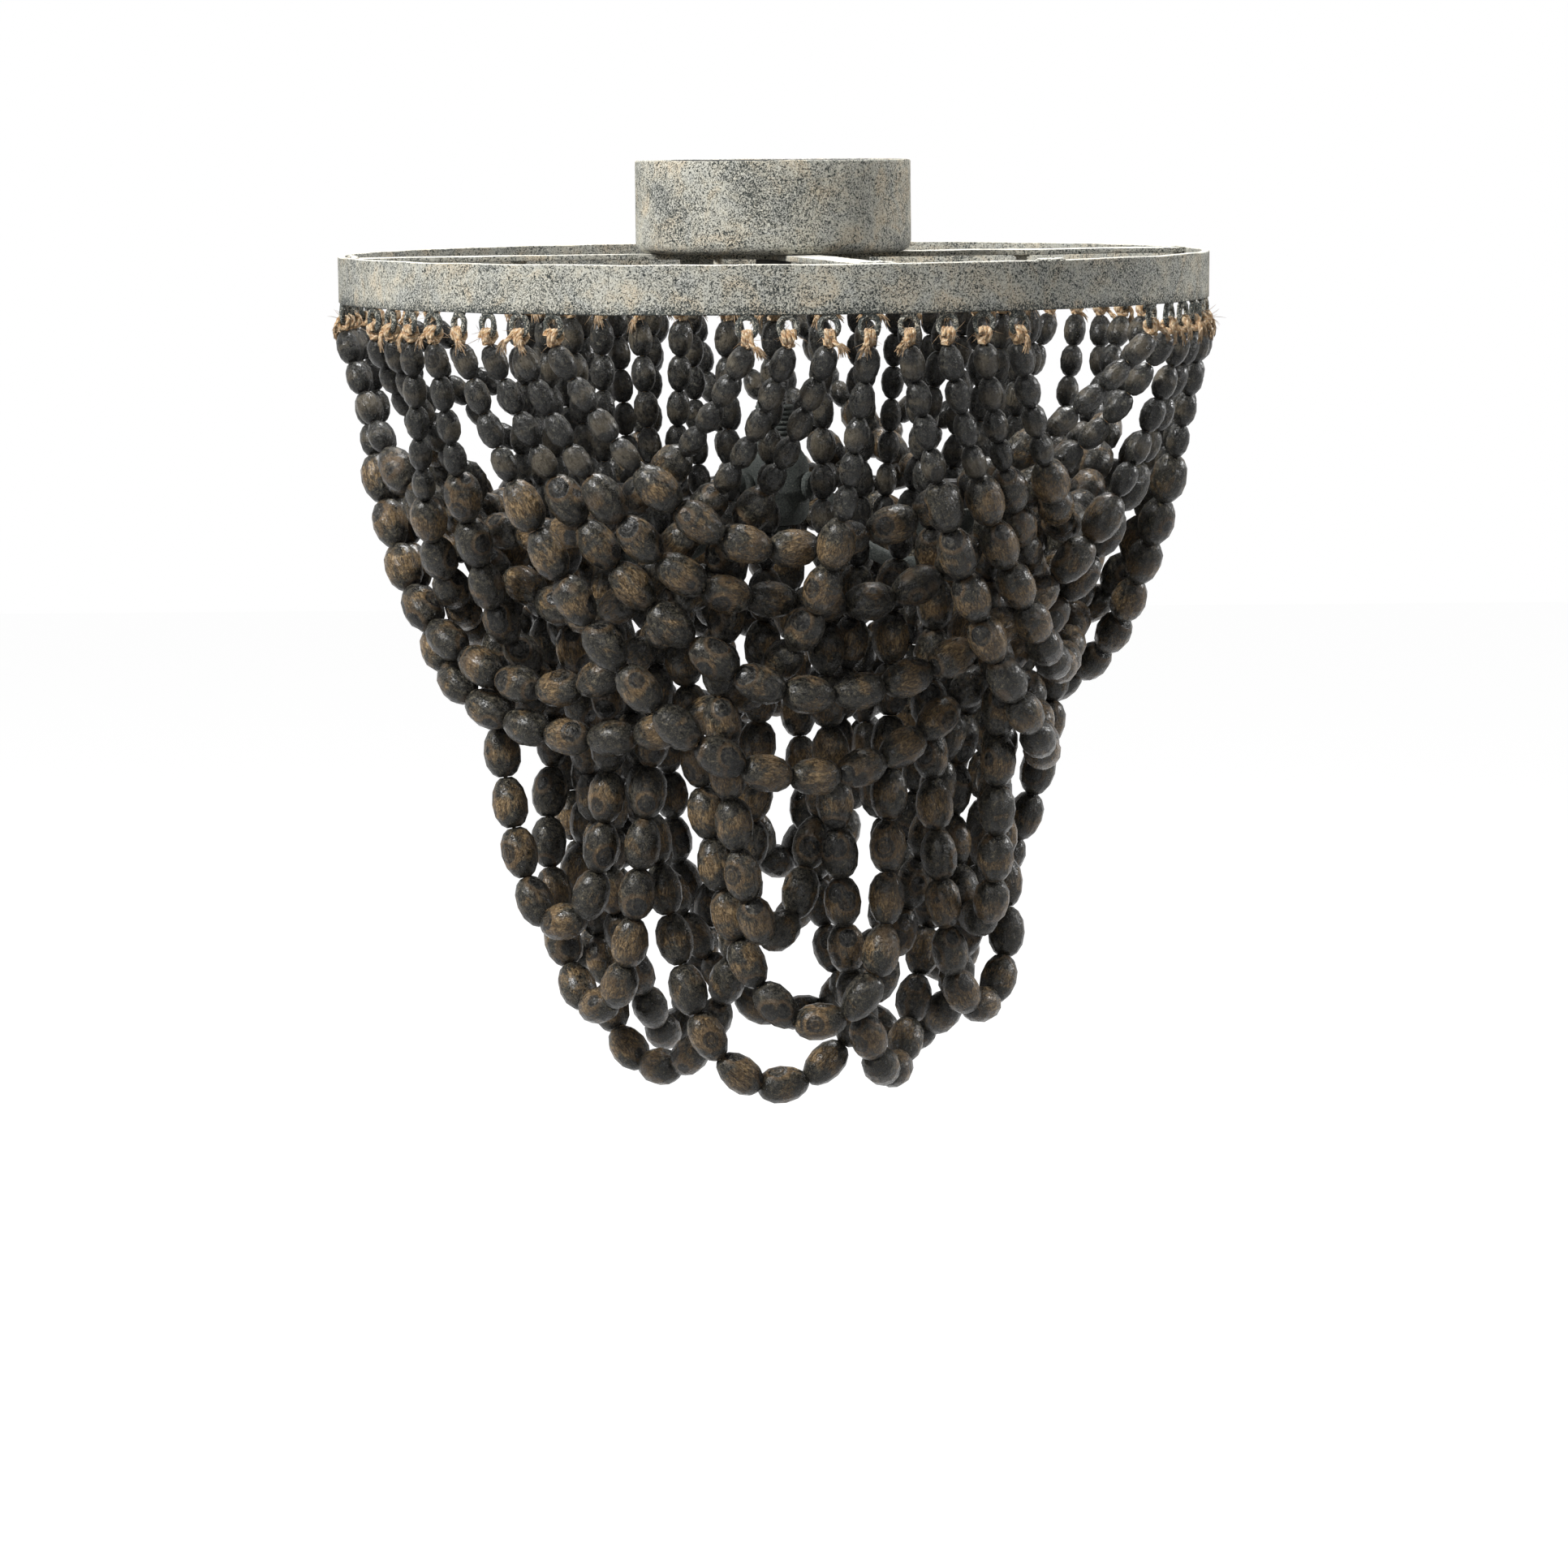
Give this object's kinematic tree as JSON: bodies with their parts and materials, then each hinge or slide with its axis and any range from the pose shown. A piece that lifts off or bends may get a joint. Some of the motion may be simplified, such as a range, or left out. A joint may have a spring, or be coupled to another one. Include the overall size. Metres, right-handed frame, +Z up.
{
  "type": "beaded chandelier",
  "caption": "Round ceiling light: metal band on a cross frame below a canopy, with woven swags and long loops of wooden beads around a small cluster of lamps.",
  "frame": {"origin": "centre of the canopy's open rim, on the ceiling plane; the whole light hangs below it", "axes": "+Z up into the ceiling; -Y towards the viewer of the picture; +X to the viewer's right"},
  "size_m": [0.3835, 0.3834, 0.4079],
  "materials": {
    "frame_paint": "distressed light grey paint, mottled with dark specks",
    "dark_steel": "dark, dusty",
    "stud_brass": "dull",
    "lampholder_plastic": "matte black phenolic",
    "bead_wood": "dark brown-black stain, rubbed and cracked, satin"
  },
  "bodies": {
    "fixture": {"canopy_cup": "frame_paint", "mounting_bar": "dark_steel", "canopy_stud_left": "stud_brass", "canopy_stud_right": "stud_brass", "outer_band": "frame_paint", "cross_frame": "frame_paint", "stem": "dark_steel", "stem_nut": "dark_steel", "lamp_hub": "frame_paint", "hub_finial": "frame_paint", "lamp_arm_1": "frame_paint", "lampholder_1": "lampholder_plastic", "lamp_arm_2": "frame_paint", "lampholder_2": "lampholder_plastic", "lamp_arm_3": "frame_paint", "lampholder_3": "lampholder_plastic", "outer_strand_1a": "bead_wood", "outer_strand_1b": "bead_wood", "outer_strand_1c": "bead_wood", "outer_strand_1d": "bead_wood", "outer_strand_2a": "bead_wood", "outer_strand_2b": "bead_wood", "outer_strand_2c": "bead_wood", "outer_strand_2d": "bead_wood", "outer_strand_3a": "bead_wood", "outer_strand_3b": "bead_wood", "outer_strand_3c": "bead_wood", "outer_strand_3d": "bead_wood", "outer_strand_4a": "bead_wood", "outer_strand_4b": "bead_wood", "outer_strand_4c": "bead_wood", "outer_strand_4d": "bead_wood", "outer_strand_5a": "bead_wood", "outer_strand_5b": "bead_wood", "outer_strand_5c": "bead_wood", "outer_strand_5d": "bead_wood", "outer_strand_6a": "bead_wood", "outer_strand_6b": "bead_wood", "outer_strand_6c": "bead_wood", "outer_strand_6d": "bead_wood", "inner_strand_1a": "bead_wood", "inner_strand_1b": "bead_wood", "inner_strand_1c": "bead_wood", "inner_strand_2a": "bead_wood", "inner_strand_2b": "bead_wood", "inner_strand_2c": "bead_wood", "inner_strand_3a": "bead_wood", "inner_strand_3b": "bead_wood", "inner_strand_3c": "bead_wood", "inner_strand_4a": "bead_wood", "inner_strand_4b": "bead_wood", "inner_strand_4c": "bead_wood", "inner_strand_5a": "bead_wood", "inner_strand_5b": "bead_wood", "inner_strand_5c": "bead_wood", "inner_strand_6a": "bead_wood", "inner_strand_6b": "bead_wood", "inner_strand_6c": "bead_wood"},
    "cap_nut_left": {"cap_nut_left": "frame_paint"},
    "cap_nut_right": {"cap_nut_right": "frame_paint"}
  },
  "joints": [
    {"name": "cap_nut_left_turn", "type": "hinge", "parent": "fixture", "child": "cap_nut_left", "pos_m": [-0.0373, 0.0233, -0.0448], "axis": [0, 0, 1], "continuous": true},
    {"name": "cap_nut_right_turn", "type": "hinge", "parent": "fixture", "child": "cap_nut_right", "pos_m": [0.0373, -0.0233, -0.0448], "axis": [0, 0, 1], "continuous": true}
  ]
}
